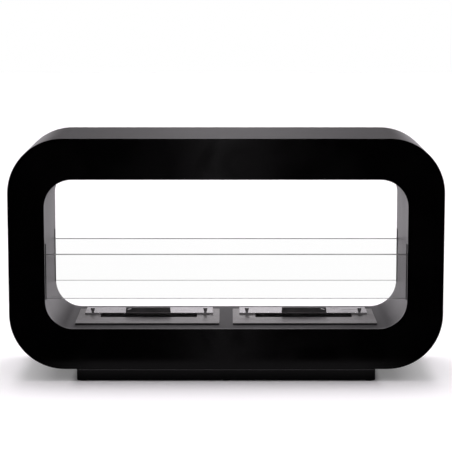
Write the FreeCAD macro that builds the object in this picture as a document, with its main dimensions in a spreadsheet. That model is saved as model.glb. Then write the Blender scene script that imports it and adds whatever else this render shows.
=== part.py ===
# See-through ethanol fireplace: a hollow ring on a plinth, two burners with sliding lids, two glass panes.
# Millimetres. Origin on the floor under the centre of the plinth, +X right, front towards -Y, +Z up.
import FreeCAD
import Part
import Sketcher
import os
import re

# Driving dimensions
SIZES = {
    # Ring: outside, opening and sheet gauges
    "body_width": 1200,
    "body_height": 642,
    "body_depth": 350,
    "outer_radius": 153,
    "fascia_side": 100,
    "fascia_rail": 113.5,
    "opening_radius": 77,
    "fascia_gauge": 4,
    "fascia_ease": 0.8,
    "shell_gauge": 2,
    "lining_gauge": 2,
    # Plinth, its bolts and its pads
    "plinth_inset": 186,
    "plinth_height": 34,
    "plinth_gauge": 3,
    "plinth_bend": 4,
    "post_diameter": 12,
    "post_inset": 60,
    "base_screw_diameter": 5,
    "base_screw_bite": 10,
    "base_screw_head_diameter": 9,
    "base_screw_head_height": 1.5,
    "pad_gauge": 2,
    "pad_diameter": 24,
    "pad_inset": 17,
    "bolt_inset": 93,
    "bolt_diameter": 8,
    "bolt_clearance": 0.5,
    "bolt_head_width": 13,
    "bolt_head_height": 5.3,
    "bolt_nut_height": 6.5,
    "bolt_end": 2,
    # Frame inside the ring
    "rib_gauge": 3,
    "top_rib_pitch": 440,
    "rib_clearance": 4,
    "joist_gap": 9,
    "joist_clearance": 2,
    # Fascia brackets, studs and nuts
    "bracket_pitch": 320,
    "bracket_width": 30,
    "bracket_depth": 14,
    "bracket_height": 26,
    "bracket_gauge": 2,
    "stud_diameter": 5,
    "stud_length": 10,
    "stud_drop": 14,
    "stud_clearance": 0.25,
    "stud_nut_width": 8,
    "stud_nut_height": 4,
    "thread_clearance": 0.05,
    # Glass panes, channels and their rubber liners
    "glass_gauge": 6,
    "glass_height": 125,
    "glass_rise": 81,
    "glass_setback": 25,
    "glass_ease": 0.8,
    "glass_clearance": 0.25,
    "glass_end_gap": 2,
    "channel_gauge": 1.5,
    "channel_depth": 22,
    "channel_flange": 10,
    "channel_stand": 1.5,
    "channel_headroom": 27.5,
    "seal_gauge": 1.5,
    "seal_foot": 1,
    "window_clearance": 0.5,
    # Burner plates, seats and wells
    "plate_gap": 38,
    "plate_setback": 64,
    "plate_gauge": 1.5,
    "plate_corner": 2,
    "gasket_gauge": 2.5,
    "gasket_margin": 2,
    "seat_width": 22,
    "slot_width": 40,
    "slot_corner": 3,
    "slot_rim": 4,
    "well_gauge": 1.5,
    "well_flange": 12,
    "well_clearance": 10,
    # Fuel tanks and what they hold
    "tank_margin": 12.5,
    "tank_side_gap": 7,
    "tank_clearance": 17,
    "tank_height": 55,
    "tank_gauge": 1.5,
    "tank_flange": 17,
    "tank_stud_inset": 40,
    "wool_height": 38,
    "wool_clearance": 1,
    "grid_gauge": 1.5,
    "grid_slot_inset": 17.5,
    "grid_slot_width": 8,
    "grid_margin": 27.5,
    # Lids, handles, knobs and guides
    "lid_margin": 19,
    "lid_rear_gap": 0.5,
    "lid_height": 4.8,
    "lid_gauge": 1.5,
    "lid_corner": 2.5,
    "lid_bend": 1.2,
    "lid_setback": 0.5,
    "lid_travel": 52,
    "slide_clearance": 0.2,
    "handle_length": 129,
    "handle_offset": 2.5,
    "handle_draft": 1.5,
    "handle_depth": 10,
    "handle_height": 14.5,
    "handle_ease": 0.6,
    "eye_length": 12,
    "eye_width": 3,
    "eye_inset": 11,
    "eye_drop": 4.3,
    "eye_angle": 15,
    "screw_diameter": 4,
    "screw_bite": 8,
    "drill_spare": 1,
    "screw_clearance": 0.2,
    "screw_head_diameter": 7,
    "screw_head_height": 2.2,
    "screw_pitch": 70,
    "knob_inset": 21.5,
    "knob_foot_diameter": 7,
    "knob_top_diameter": 13,
    "knob_height": 13,
    "knob_ease": 0.8,
    "knob_setback": 7,
    "rivet_diameter": 4,
    "rivet_head_diameter": 7,
    "rivet_head_height": 1.2,
    "rivet_clearance": 0.05,
    "pin_side_gap": 17,
    "pin_rear_gap": 9,
    "pin_diameter": 5,
    "pin_length": 13,
    "pin_clearance": 0.3,
    "guide_nut_width": 8,
    "guide_nut_height": 4,
    "guide_washer_diameter": 12,
    "guide_washer_gauge": 1.5,
}

# Levels and sizes that follow from the driving dimensions
BAND_DEPTH = "(body_depth - 2 * fascia_gauge)"
OPENING_WIDTH = "(body_width - 2 * fascia_side)"
OPENING_HEIGHT = "(body_height - 2 * fascia_rail)"
PLINTH_WIDTH = "(body_width - 2 * plinth_inset)"
RING_CENTRE = "(plinth_height + body_height / 2)"
RING_FLOOR = "(plinth_height + shell_gauge)"
RING_CEILING = "(plinth_height + body_height - shell_gauge)"
HEARTH = "(plinth_height + fascia_rail)"
HEARTH_UNDERSIDE = f"({HEARTH} - lining_gauge)"
LINING_TOP = f"({HEARTH} + {OPENING_HEIGHT} + lining_gauge)"
LINING_OUTSIDE = f"({OPENING_WIDTH} / 2 + lining_gauge)"
FLOOR_GAP = f"({HEARTH_UNDERSIDE} - {RING_FLOOR})"

GLASS_Y = "(body_depth / 2 - glass_setback)"
GLASS_FOOT = f"({HEARTH} + glass_rise)"
SEAL_WIDTH = "(glass_gauge + 2 * (glass_clearance + seal_gauge))"
CHANNEL_WIDTH = f"({SEAL_WIDTH} + 2 * channel_gauge)"
CHANNEL_FOOT = f"({GLASS_FOOT} - seal_foot - channel_gauge)"
CHANNEL_HEIGHT = "(channel_gauge + seal_foot + glass_height + channel_headroom)"
CHANNEL_TIP = f"({OPENING_WIDTH} / 2 - channel_stand)"

PLATE_LENGTH = f"(({OPENING_WIDTH} - 2 * opening_radius - plate_gap) / 2)"
PLATE_DEPTH = "(body_depth - 2 * plate_setback)"
BURNER_X = f"((plate_gap + {PLATE_LENGTH}) / 2)"
PLATE_UNDERSIDE = f"({HEARTH} + gasket_gauge)"
PLATE_TOP = f"({PLATE_UNDERSIDE} + plate_gauge)"
CUTOUT_LENGTH = f"({PLATE_LENGTH} - 2 * seat_width)"
CUTOUT_DEPTH = f"({PLATE_DEPTH} - 2 * seat_width)"
PIN_X = f"({CUTOUT_LENGTH} / 2 - pin_side_gap)"
PIN_Y = f"({CUTOUT_DEPTH} / 2 - pin_rear_gap)"
TANK_LENGTH = f"(2 * ({PIN_X} - guide_washer_diameter / 2 - tank_side_gap))"
TANK_DEPTH = f"({CUTOUT_DEPTH} - 2 * (tank_clearance + tank_flange))"
SLOT_LENGTH = f"({TANK_LENGTH} - 2 * tank_margin)"
TANK_FOOT = f"({PLATE_UNDERSIDE} - tank_height)"
TANK_STUD_X = f"({TANK_LENGTH} / 2 - tank_stud_inset)"
TANK_STUD_Y = f"({TANK_DEPTH} / 2 + tank_flange / 2)"
WOOL_TOP = f"({TANK_FOOT} + tank_gauge + wool_height)"
WELL_FOOT = f"({TANK_FOOT} - well_clearance - well_gauge)"

LID_LENGTH = f"({PLATE_LENGTH} - 2 * lid_margin)"
LID_FRONT = "(slot_width / 2 + lid_setback)"
LID_DEPTH = f"({PLATE_DEPTH} / 2 - {LID_FRONT} - lid_rear_gap)"
LID_FOOT = f"({PLATE_TOP} + slide_clearance)"
LID_TOP = f"({LID_FOOT} + lid_height)"
LID_SHEET_UNDERSIDE = f"({LID_TOP} - lid_gauge)"
HANDLE_X = f"({BURNER_X} + handle_offset)"
HANDLE_Y = f"({LID_FRONT} + handle_depth / 2)"
KNOB_X = f"({LID_LENGTH} / 2 - knob_inset)"
KNOB_Y = f"({LID_FRONT} + knob_setback)"
GUIDE_SLOT_WIDTH = "(pin_diameter + 2 * pin_clearance)"

JOIST_WEB = f"({CUTOUT_DEPTH} / 2 + well_gauge + well_flange + joist_gap)"
JOIST_EDGE = f"({BAND_DEPTH} / 2 - bracket_depth - joist_clearance)"
JOIST_LENGTH = f"({OPENING_WIDTH} - 2 * opening_radius)"
BOLT_X = f"({JOIST_LENGTH} / 2 - bolt_inset)"
BOLT_Y = f"(({JOIST_WEB} + rib_gauge + {JOIST_EDGE}) / 2)"
BOLT_HOLE = "(bolt_diameter + 2 * bolt_clearance)"
STUD_HOLE = "(stud_diameter + 2 * stud_clearance)"

SIDES = {"left": -1, "right": 1}
FACES = {"front": -1, "rear": 1}
ROW_STEPS = (-1, 0, 1)
GRID_SLOTS = 13

doc = FreeCAD.newDocument("see_through_fireplace")
sheet = doc.addObject("Spreadsheet::Sheet", "Sizes")
for row, (alias, value) in enumerate(SIZES.items(), start=1):
    sheet.set(f"A{row}", alias)
    sheet.set(f"B{row}", str(value))
    sheet.setAlias(f"B{row}", alias)
doc.recompute()

# A scratch value that turns a formula into the number a sketch starts from
reader = doc.addObject("App::FeaturePython", "Reader")
reader.addProperty("App::PropertyFloat", "Value")

nodes = []


def over_sheet(formula):
    """The formula with every size name pointed at its cell."""
    return re.sub("[a-z_]+", lambda word: f"Sizes.{word[0]}" if word[0] in SIZES else word[0], formula)


def number(formula):
    """What the formula comes to at the present sizes."""
    reader.setExpression("Value", over_sheet(formula))
    reader.recompute()
    return reader.Value


def bind(thing, name, formula):
    """Tie one property to a formula over the sheet."""
    thing.setExpression(name, over_sheet(formula))


def place(thing, x="0", y="0", z="0", rotation=FreeCAD.Rotation()):
    """Tie the placement of a thing to three formulas."""
    thing.Placement = FreeCAD.Placement(FreeCAD.Vector(), rotation)
    for axis, formula in zip("xyz", (x, y, z)):
        bind(thing, f"Placement.Base.{axis}", formula)
    return thing


def keep(thing, label):
    """Name a finished sub-part, which is then written to a file of that name."""
    thing.Label = label
    nodes.append(thing)
    return thing


# Solids from primitives
def block(name, size, x="0", y="0", z="0"):
    """A box centred on x and y that stands on z."""
    box = doc.addObject("Part::Box", name)
    for prop, formula in zip(("Length", "Width", "Height"), size):
        bind(box, prop, formula)
    return place(box, f"{x} - ({size[0]}) / 2", f"{y} - ({size[1]}) / 2", z)


def rod(name, diameter, length, x="0", y="0", z="0", rotation=FreeCAD.Rotation()):
    """A cylinder that starts at a point and runs along its own turned Z axis."""
    cylinder = doc.addObject("Part::Cylinder", name)
    bind(cylinder, "Radius", f"({diameter}) / 2")
    bind(cylinder, "Height", length)
    return place(cylinder, x, y, z, rotation)


def hexagon(name, width, height):
    """A hexagonal prism on its own origin, by its width over flats."""
    prism = doc.addObject("Part::Prism", name)
    prism.Polygon = 6
    bind(prism, "Circumradius", f"{width} / sqrt(3)")
    bind(prism, "Height", height)
    return prism


def cut(name, base, *tools):
    """The base with the tools taken away."""
    result = doc.addObject("Part::Cut", name)
    result.Base = base
    result.Tool = tools[0] if len(tools) == 1 else group(name + "_tools", tools)
    return result


def fuse(name, *parts):
    """One solid from parts that meet."""
    result = doc.addObject("Part::MultiFuse", name)
    result.Shapes = list(parts)
    result.Refine = True
    return result


def group(name, parts):
    """Separate solids kept together."""
    result = doc.addObject("Part::Compound", name)
    result.Links = list(parts)
    return result


def nut(name, width, height, bore):
    """A hexagon nut on its own origin, with its bore along Z."""
    return cut(name, hexagon(name + "_hexagon", width, height), rod(name + "_bore", bore, height))


# Bodies from sketches
def sketch_on(body, name, plane, x="0", y="0", lift="0", turn="0"):
    """A sketch on one of the body's own planes, moved within it and lifted along its normal."""
    sketch = body.newObject("Sketcher::SketchObject", name)
    support = next(feature for feature in body.Origin.OriginFeatures if feature.Role == plane)
    sketch.AttachmentSupport = [(support, "")]
    sketch.MapMode = "FlatFace"
    for axis, formula in zip("xyz", (x, y, lift)):
        bind(sketch, f"AttachmentOffset.Base.{axis}", formula)
    bind(sketch, "AttachmentOffset.Rotation.Angle", turn)
    return sketch


def datum(sketch, formula, *constraint):
    """A dimension of a sketch, tied to a formula."""
    index = sketch.addConstraint(Sketcher.Constraint(*constraint, number(formula)))
    bind(sketch, f"Constraints[{index}]", formula)


def outline(sketch, corners):
    """A closed outline of straight lines through corners given as pairs of formulas."""
    points = [FreeCAD.Vector(number(x), number(y), 0) for x, y in corners]
    first = len(sketch.Geometry)
    count = len(points)
    for index, point in enumerate(points):
        sketch.addGeometry(Part.LineSegment(point, points[(index + 1) % count]))
    for index, (x, y) in enumerate(corners):
        line = first + index
        sketch.addConstraint(Sketcher.Constraint("Coincident", line, 2, first + (index + 1) % count, 1))
        for kind, formula, axis in (("DistanceX", x, -2), ("DistanceY", y, -1)):
            if formula == "0":
                sketch.addConstraint(Sketcher.Constraint("PointOnObject", line, 1, axis))
            else:
                datum(sketch, formula, kind, -1, 1, line, 1)


def rectangle(sketch, width, height):
    """A rectangle centred on the sketch."""
    right, top = f"({width}) / 2", f"({height}) / 2"
    outline(sketch, [(f"-{right}", f"-{top}"), (right, f"-{top}"), (right, top), (f"-{right}", top)])


def rounded_rectangle(sketch, width, height, radius):
    """A rectangle with round corners, centred on the sketch: four sides, four quarter arcs between them."""
    half_width = number(width) / 2
    half_height = number(height) / 2
    corner = number(radius)
    first = len(sketch.Geometry)
    quarter = FreeCAD.Units.Quantity("90 deg").getValueAs("rad").Value
    signs = ((1, 1), (-1, 1), (-1, -1), (1, -1))
    normal = FreeCAD.Vector(0, 0, 1)
    starts = []
    for turn, (side, level) in enumerate(signs):
        centre = FreeCAD.Vector(side * (half_width - corner), level * (half_height - corner), 0)
        arc = Part.ArcOfCircle(Part.Circle(centre, normal, corner), turn * quarter, (turn + 1) * quarter)
        sketch.addGeometry(arc)
        starts.append((arc.StartPoint, arc.EndPoint))
    for turn in range(4):
        sketch.addGeometry(Part.LineSegment(starts[turn][1], starts[(turn + 1) % 4][0]))
    for turn in range(4):
        arc, side, following = first + turn, first + 4 + turn, first + (turn + 1) % 4
        sketch.addConstraint(Sketcher.Constraint("Tangent", arc, 2, side, 1))
        sketch.addConstraint(Sketcher.Constraint("Tangent", side, 2, following, 1))
        sketch.addConstraint(Sketcher.Constraint("Vertical" if turn % 2 else "Horizontal", side))
        if turn:
            sketch.addConstraint(Sketcher.Constraint("Equal", first, arc))
    sketch.addConstraint(Sketcher.Constraint("Symmetric", first, 3, first + 2, 3, -1, 1))
    datum(sketch, radius, "Radius", first)
    datum(sketch, width, "DistanceX", first + 5, 1, first + 7, 1)
    datum(sketch, height, "DistanceY", first + 6, 1, first + 4, 1)


def obround(sketch, length, width):
    """A slot with round ends along the sketch's X axis, centred on the sketch."""
    reach = (number(length) - number(width)) / 2
    radius = number(width) / 2
    quarter = FreeCAD.Units.Quantity("90 deg").getValueAs("rad").Value
    first = len(sketch.Geometry)
    normal = FreeCAD.Vector(0, 0, 1)
    for side in (1, -1):
        circle = Part.Circle(FreeCAD.Vector(side * reach, 0, 0), normal, radius)
        sketch.addGeometry(Part.ArcOfCircle(circle, -side * quarter, (2 - side) * quarter))
    for level in (1, -1):
        ends = [FreeCAD.Vector(level * side * reach, level * radius, 0) for side in (1, -1)]
        sketch.addGeometry(Part.LineSegment(*ends))
    right, left, upper, lower = range(first, first + 4)
    for a, b in ((right, upper), (upper, left), (left, lower), (lower, right)):
        sketch.addConstraint(Sketcher.Constraint("Tangent", a, 2, b, 1))
    sketch.addConstraint(Sketcher.Constraint("Equal", right, left))
    sketch.addConstraint(Sketcher.Constraint("Horizontal", upper))
    sketch.addConstraint(Sketcher.Constraint("Symmetric", right, 3, left, 3, -1, 1))
    datum(sketch, f"({width}) / 2", "Radius", right)
    datum(sketch, f"({length}) - ({width})", "DistanceX", left, 3, right, 3)


def circle(sketch, diameter):
    """A circle centred on the sketch."""
    index = sketch.addGeometry(Part.Circle(FreeCAD.Vector(), FreeCAD.Vector(0, 0, 1), number(diameter) / 2))
    sketch.addConstraint(Sketcher.Constraint("Coincident", index, 3, -1, 1))
    datum(sketch, f"({diameter}) / 2", "Radius", index)


def sweep_straight(kind, sketch, length, direction):
    """A pad or pocket of a sketch: along its normal (1), against it (-1) or half each way (0)."""
    body = sketch.getParentGeoFeatureGroup()
    feature = body.newObject(f"PartDesign::{kind}", f"{sketch.Name}_{kind}")
    feature.Profile = sketch
    feature.SideType = "One side" if direction else "Symmetric"
    bind(feature, "Length", length)
    feature.Reversed = direction < 0 if kind == "Pad" else direction > 0
    return feature


def pad(sketch, length, direction=1):
    """Material added along a sketch's normal."""
    return sweep_straight("Pad", sketch, length, direction)


def pocket(sketch, length, direction=-1):
    """Material taken away, by default against the sketch's normal; it has to remove something."""
    body = sketch.getParentGeoFeatureGroup()
    doc.recompute()
    before = body.Shape.Volume
    feature = sweep_straight("Pocket", sketch, length, direction)
    doc.recompute()
    if feature.Shape.Volume >= before:
        raise RuntimeError(f"{feature.Name} removes nothing")
    return feature


def ease(kind, body, size, chosen):
    """A fillet or chamfer of the edges of the body's last feature that the test picks."""
    doc.recompute()
    base = body.Tip
    names = [f"Edge{index}" for index, edge in enumerate(base.Shape.Edges, start=1) if chosen(edge)]
    feature = body.newObject(f"PartDesign::{kind}", f"{body.Name}_{kind}")
    feature.Base = (base, names)
    bind(feature, "Radius" if kind == "Fillet" else "Size", size)
    return feature


def lies_at(axis, formula):
    """A test for edges that lie in the plane where one coordinate has the formula's value."""
    level = number(formula)
    return lambda edge: all(abs(getattr(vertex.Point, axis) - level) < 1e-6 for vertex in edge.Vertexes)


def new_body(name):
    """An empty body of the document."""
    return doc.addObject("PartDesign::Body", name)


# Ring
def make_outer_shell():
    """The band round the outside, between the fascias, with holes for the plinth bolts."""
    body = new_body("OuterShell")
    ring = sketch_on(body, "shell_ring", "XZ_Plane", y=RING_CENTRE)
    rounded_rectangle(ring, "body_width", "body_height", "outer_radius")
    rounded_rectangle(ring, "body_width - 2 * shell_gauge", "body_height - 2 * shell_gauge",
                      "outer_radius - shell_gauge")
    pad(ring, BAND_DEPTH, 0)
    for side in SIDES.values():
        for face in FACES.values():
            hole = sketch_on(body, "shell_hole", "XY_Plane", f"{side} * {BOLT_X}", f"{face} * {BOLT_Y}",
                             RING_FLOOR)
            circle(hole, BOLT_HOLE)
            pocket(hole, "shell_gauge")
    keep(body, "outer_shell")


def make_inner_lining():
    """The lining of the opening, with a cut-out for each burner and a window for each glass channel."""
    body = new_body("InnerLining")
    ring = sketch_on(body, "lining_ring", "XZ_Plane", y=RING_CENTRE)
    rounded_rectangle(ring, OPENING_WIDTH, OPENING_HEIGHT, "opening_radius")
    rounded_rectangle(ring, f"{OPENING_WIDTH} + 2 * lining_gauge", f"{OPENING_HEIGHT} + 2 * lining_gauge",
                      "opening_radius + lining_gauge")
    pad(ring, BAND_DEPTH, 0)
    for side in SIDES.values():
        cutout = sketch_on(body, "burner_cutout", "XY_Plane", f"{side} * {BURNER_X}", lift=HEARTH)
        rounded_rectangle(cutout, CUTOUT_LENGTH, CUTOUT_DEPTH, "slot_corner")
        pocket(cutout, "lining_gauge")
    for face in FACES.values():
        window = sketch_on(body, "channel_window", "YZ_Plane", f"{face} * {GLASS_Y}",
                           f"{CHANNEL_FOOT} + {CHANNEL_HEIGHT} / 2")
        spare = "2 * window_clearance"
        rectangle(window, f"{CHANNEL_WIDTH} + {spare}", f"{CHANNEL_HEIGHT} + {spare}")
        pocket(window, f"{OPENING_WIDTH} + 4 * lining_gauge", 0)
    keep(body, "inner_lining")


def make_fascia(name, face):
    """A ring-shaped face plate with eased outer edges and welded studs on its back."""
    body = new_body(f"{name.title()}Fascia")
    ring = sketch_on(body, f"{name}_ring", "XZ_Plane", y=RING_CENTRE,
                     lift=f"{-face} * (body_depth / 2 - fascia_gauge)")
    rounded_rectangle(ring, "body_width", "body_height", "outer_radius")
    rounded_rectangle(ring, OPENING_WIDTH, OPENING_HEIGHT, "opening_radius")
    pad(ring, "fascia_gauge", -face)
    ease("Fillet", body, "fascia_ease", lies_at("y", f"{face} * body_depth / 2"))
    for level in (f"{RING_FLOOR} + stud_drop", f"{RING_CEILING} - stud_drop"):
        for step in ROW_STEPS:
            stud = sketch_on(body, f"{name}_stud", "XZ_Plane", f"{step} * bracket_pitch", level,
                             f"{-face} * (body_depth / 2 - fascia_gauge)")
            circle(stud, "stud_diameter")
            pad(stud, "stud_length", face)
    keep(body, f"{name}_fascia")


def make_ribs():
    """Plates that hold the shell and the lining apart, over the opening and beside it."""
    size = ("rib_gauge", BAND_DEPTH, f"{RING_CEILING} - {LINING_TOP}")
    top = [block(f"top_rib_{name}", size, f"{side} * top_rib_pitch / 2", "0", LINING_TOP)
           for name, side in SIDES.items()]
    keep(group("TopRibs", top), "top_ribs")
    width = f"(body_width / 2 - shell_gauge - {LINING_OUTSIDE})"
    depth = f"2 * ({GLASS_Y} - {CHANNEL_WIDTH} / 2 - channel_flange - rib_clearance)"
    size = (width, depth, "rib_gauge")
    sides = [block(f"side_rib_{name}", size, f"{side} * ({LINING_OUTSIDE} + {width} / 2)", "0",
                   f"{RING_CENTRE} - rib_gauge / 2")
             for name, side in SIDES.items()]
    keep(group("SideRibs", sides), "side_ribs")


def make_hearth_joists():
    """Two C-shaped bearers along the hearth, bolted to the plinth, and a cross rib between them."""
    for name, face in FACES.items():
        web = block(f"{name}_joist_web", (JOIST_LENGTH, "rib_gauge", FLOOR_GAP), "0",
                    f"{face} * ({JOIST_WEB} + rib_gauge / 2)", RING_FLOOR)
        flange = (JOIST_LENGTH, f"({JOIST_EDGE} - {JOIST_WEB})", "rib_gauge")
        middle = f"{face} * ({JOIST_EDGE} + {JOIST_WEB}) / 2"
        lower = block(f"{name}_joist_lower", flange, "0", middle, RING_FLOOR)
        upper = block(f"{name}_joist_upper", flange, "0", middle, f"{HEARTH_UNDERSIDE} - rib_gauge")
        section = fuse(f"{name}_joist_section", web, lower, upper)
        holes = [rod(f"{name}_joist_hole_{side}", BOLT_HOLE, "rib_gauge", f"{sign} * {BOLT_X}",
                     f"{face} * {BOLT_Y}", RING_FLOOR)
                 for side, sign in SIDES.items()]
        keep(cut(f"{name.title()}Joist", section, *holes), f"hearth_joist_{name}")
    rib = block("HearthCrossRib", ("rib_gauge", f"2 * {JOIST_WEB}", FLOOR_GAP), z=RING_FLOOR)
    keep(rib, "hearth_cross_rib")


def make_fascia_fixings():
    """Angle brackets inside the shell that the fascia studs pass through, and their nuts."""
    nuts = []
    for name, face in FACES.items():
        back = f"{face} * {BAND_DEPTH} / 2"
        brackets = []
        for level, upright in (("lower", 1), ("upper", -1)):
            wall = RING_FLOOR if upright > 0 else RING_CEILING
            for step in ROW_STEPS:
                label = f"{name}_{level}_{step + 1}"
                x = f"{step} * bracket_pitch"
                stud_z = f"{wall} + {upright} * stud_drop"
                foot_z = wall if upright > 0 else f"{wall} - bracket_gauge"
                leg_z = wall if upright > 0 else f"{wall} - bracket_height"
                foot = block(f"bracket_foot_{label}", ("bracket_width", "bracket_depth", "bracket_gauge"), x,
                             f"{back} - {face} * bracket_depth / 2", foot_z)
                leg = block(f"bracket_leg_{label}", ("bracket_width", "bracket_gauge", "bracket_height"), x,
                            f"{back} - {face} * bracket_gauge / 2", leg_z)
                inward = FreeCAD.Rotation(FreeCAD.Vector(1, 0, 0), 90 * face)
                hole = rod(f"bracket_hole_{label}", STUD_HOLE, "bracket_gauge", x, back, stud_z, inward)
                brackets.append(cut(f"bracket_{label}", fuse(f"angle_{label}", foot, leg), hole))
                fixing = nut(f"fascia_nut_{label}", "stud_nut_width", "stud_nut_height",
                             "stud_diameter + 2 * thread_clearance")
                nuts.append(place(fixing, x, f"{back} - {face} * bracket_gauge", stud_z, inward))
        keep(group(f"{name.title()}Brackets", brackets), f"{name}_fascia_brackets")
    keep(group("FasciaNuts", nuts), "fascia_nuts")


# Plinth
def make_plinth():
    """A folded tray, closed on top and rounded along the foot of its end walls."""
    body = new_body("Plinth")
    height = "(plinth_height - pad_gauge)"
    foot = sketch_on(body, "plinth_foot", "XY_Plane", lift="pad_gauge")
    rectangle(foot, PLINTH_WIDTH, "body_depth")
    pad(foot, height)
    at_foot = lies_at("z", "pad_gauge")
    reach = number(f"{PLINTH_WIDTH} / 2")
    ease("Fillet", body, "plinth_bend",
         lambda edge: at_foot(edge) and all(abs(abs(v.X) - reach) < 1e-6 for v in edge.Vertexes))
    hollow = sketch_on(body, "plinth_hollow", "XY_Plane", lift="pad_gauge")
    rectangle(hollow, f"{PLINTH_WIDTH} - 2 * plinth_gauge", "body_depth - 2 * plinth_gauge")
    pocket(hollow, f"{height} - plinth_gauge", 1)
    for side in SIDES.values():
        for face in FACES.values():
            hole = sketch_on(body, "plinth_hole", "XY_Plane", f"{side} * {BOLT_X}", f"{face} * {BOLT_Y}",
                             "plinth_height")
            circle(hole, BOLT_HOLE)
            pocket(hole, "plinth_gauge")
    keep(body, "plinth")


def make_plinth_base():
    """The plate that closes the plinth from below, the posts that it is screwed to, and its screws."""
    plate = block("base_sheet", (f"{PLINTH_WIDTH} - 2 * plinth_gauge", "body_depth - 2 * plinth_gauge",
                                 "plinth_gauge"), z="pad_gauge")
    post_foot = "pad_gauge + plinth_gauge"
    post_height = f"plinth_height - plinth_gauge - ({post_foot})"
    hole_width = "base_screw_diameter + 2 * screw_clearance"
    bore_width = "base_screw_diameter + 2 * thread_clearance"
    holes = []
    posts = []
    screws = []
    for face_name, face in FACES.items():
        for step in ROW_STEPS:
            label = f"{face_name}_{step + 1}"
            at = (f"{step} * ({PLINTH_WIDTH} / 2 - post_inset)", f"{face} * (body_depth / 2 - post_inset)")
            holes.append(rod(f"base_hole_{label}", hole_width, "plinth_gauge", *at, "pad_gauge"))
            post = rod(f"post_rod_{label}", "post_diameter", post_height, *at, post_foot)
            bore = rod(f"post_bore_{label}", bore_width, "base_screw_bite + drill_spare", *at, post_foot)
            posts.append(cut(f"post_{label}", post, bore))
            stem = rod(f"base_stem_{label}", "base_screw_diameter", "plinth_gauge + base_screw_bite", *at,
                       "pad_gauge")
            head = rod(f"base_head_{label}", "base_screw_head_diameter", "base_screw_head_height", *at,
                       "pad_gauge - base_screw_head_height")
            screws.append(fuse(f"base_screw_{label}", head, stem))
    keep(cut("PlinthBase", plate, *holes), "plinth_base")
    keep(group("PlinthPosts", posts), "plinth_posts")
    keep(group("BaseScrews", screws), "base_screws")


def make_plinth_fixings():
    """Bolts up through the plinth, the shell and the joists, their nuts, and the pads under the plinth."""
    seat = "plinth_height - plinth_gauge"
    shank = "plinth_gauge + shell_gauge + rib_gauge + bolt_nut_height + bolt_end"
    bolts = []
    nuts = []
    for side_name, side in SIDES.items():
        for face_name, face in FACES.items():
            label = f"{face_name}_{side_name}"
            x, y = f"{side} * {BOLT_X}", f"{face} * {BOLT_Y}"
            head = place(hexagon(f"bolt_head_{label}", "bolt_head_width", "bolt_head_height"), x, y,
                         f"{seat} - bolt_head_height")
            stem = rod(f"bolt_stem_{label}", "bolt_diameter", shank, x, y, seat)
            bolts.append(fuse(f"bolt_{label}", head, stem))
            fixing = nut(f"bolt_nut_{label}", "bolt_head_width", "bolt_nut_height",
                         "bolt_diameter + 2 * thread_clearance")
            nuts.append(place(fixing, x, y, f"{RING_FLOOR} + rib_gauge"))
    keep(group("PlinthBolts", bolts), "plinth_bolts")
    keep(group("PlinthNuts", nuts), "plinth_nuts")
    pads = [rod(f"pad_{face_name}_{step + 1}", "pad_diameter", "pad_gauge",
                f"{step} * ({PLINTH_WIDTH} / 2 - pad_inset)", f"{face} * (body_depth / 2 - pad_inset)")
            for face_name, face in FACES.items() for step in ROW_STEPS]
    keep(group("GlidePads", pads), "glide_pads")


# Glass
def make_glass_channel(face_name, side_name):
    """A hat-shaped channel behind the lining whose lips reach through it, and its rubber liner."""
    label = f"{face_name}_{side_name}"
    side, y = SIDES[side_name], f"{FACES[face_name]} * {GLASS_Y}"
    middle = f"{side} * ({CHANNEL_TIP} + channel_depth / 2)"
    hat = block(f"hat_{label}", ("channel_depth", CHANNEL_WIDTH, CHANNEL_HEIGHT), middle, y, CHANNEL_FOOT)
    brim = ("channel_gauge", f"{CHANNEL_WIDTH} + 2 * channel_flange", CHANNEL_HEIGHT)
    brim_x = f"{side} * ({LINING_OUTSIDE} + channel_gauge / 2)"
    flanges = block(f"hat_flange_{label}", brim, brim_x, y, CHANNEL_FOOT)
    lined = ("channel_depth - channel_gauge", SEAL_WIDTH, f"{CHANNEL_HEIGHT} - channel_gauge")
    lined_at = (f"{side} * ({CHANNEL_TIP} + ({lined[0]}) / 2)", y, f"{CHANNEL_FOOT} + channel_gauge")
    groove = block(f"hat_groove_{label}", lined, *lined_at)
    section = fuse(f"hat_section_{label}", hat, flanges)
    keep(cut(f"Channel_{label}", section, groove), f"glass_channel_{label}")
    liner = block(f"liner_{label}", lined, *lined_at)
    bare = "(channel_depth - channel_gauge - seal_gauge)"
    bed = block(f"liner_bed_{label}", (bare, f"{SEAL_WIDTH} - 2 * seal_gauge",
                                       f"{CHANNEL_HEIGHT} - channel_gauge - seal_foot"),
                f"{side} * ({CHANNEL_TIP} + {bare} / 2)", y, GLASS_FOOT)
    keep(cut(f"Seal_{label}", liner, bed), f"channel_seal_{label}")


def make_glass(name, face):
    """A pane with arrised edges, its ends in the channels."""
    body = new_body(f"{name.title()}Glass")
    sheet_plan = sketch_on(body, f"{name}_pane", "XY_Plane", y=f"{face} * {GLASS_Y}", lift=GLASS_FOOT)
    reach = f"{CHANNEL_TIP} + channel_depth - channel_gauge - seal_gauge - glass_end_gap"
    rectangle(sheet_plan, f"2 * ({reach})", "glass_gauge")
    pad(sheet_plan, "glass_height")
    ease("Chamfer", body, "glass_ease", lies_at("z", f"{GLASS_FOOT} + glass_height"))
    keep(body, f"{name}_glass")


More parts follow.
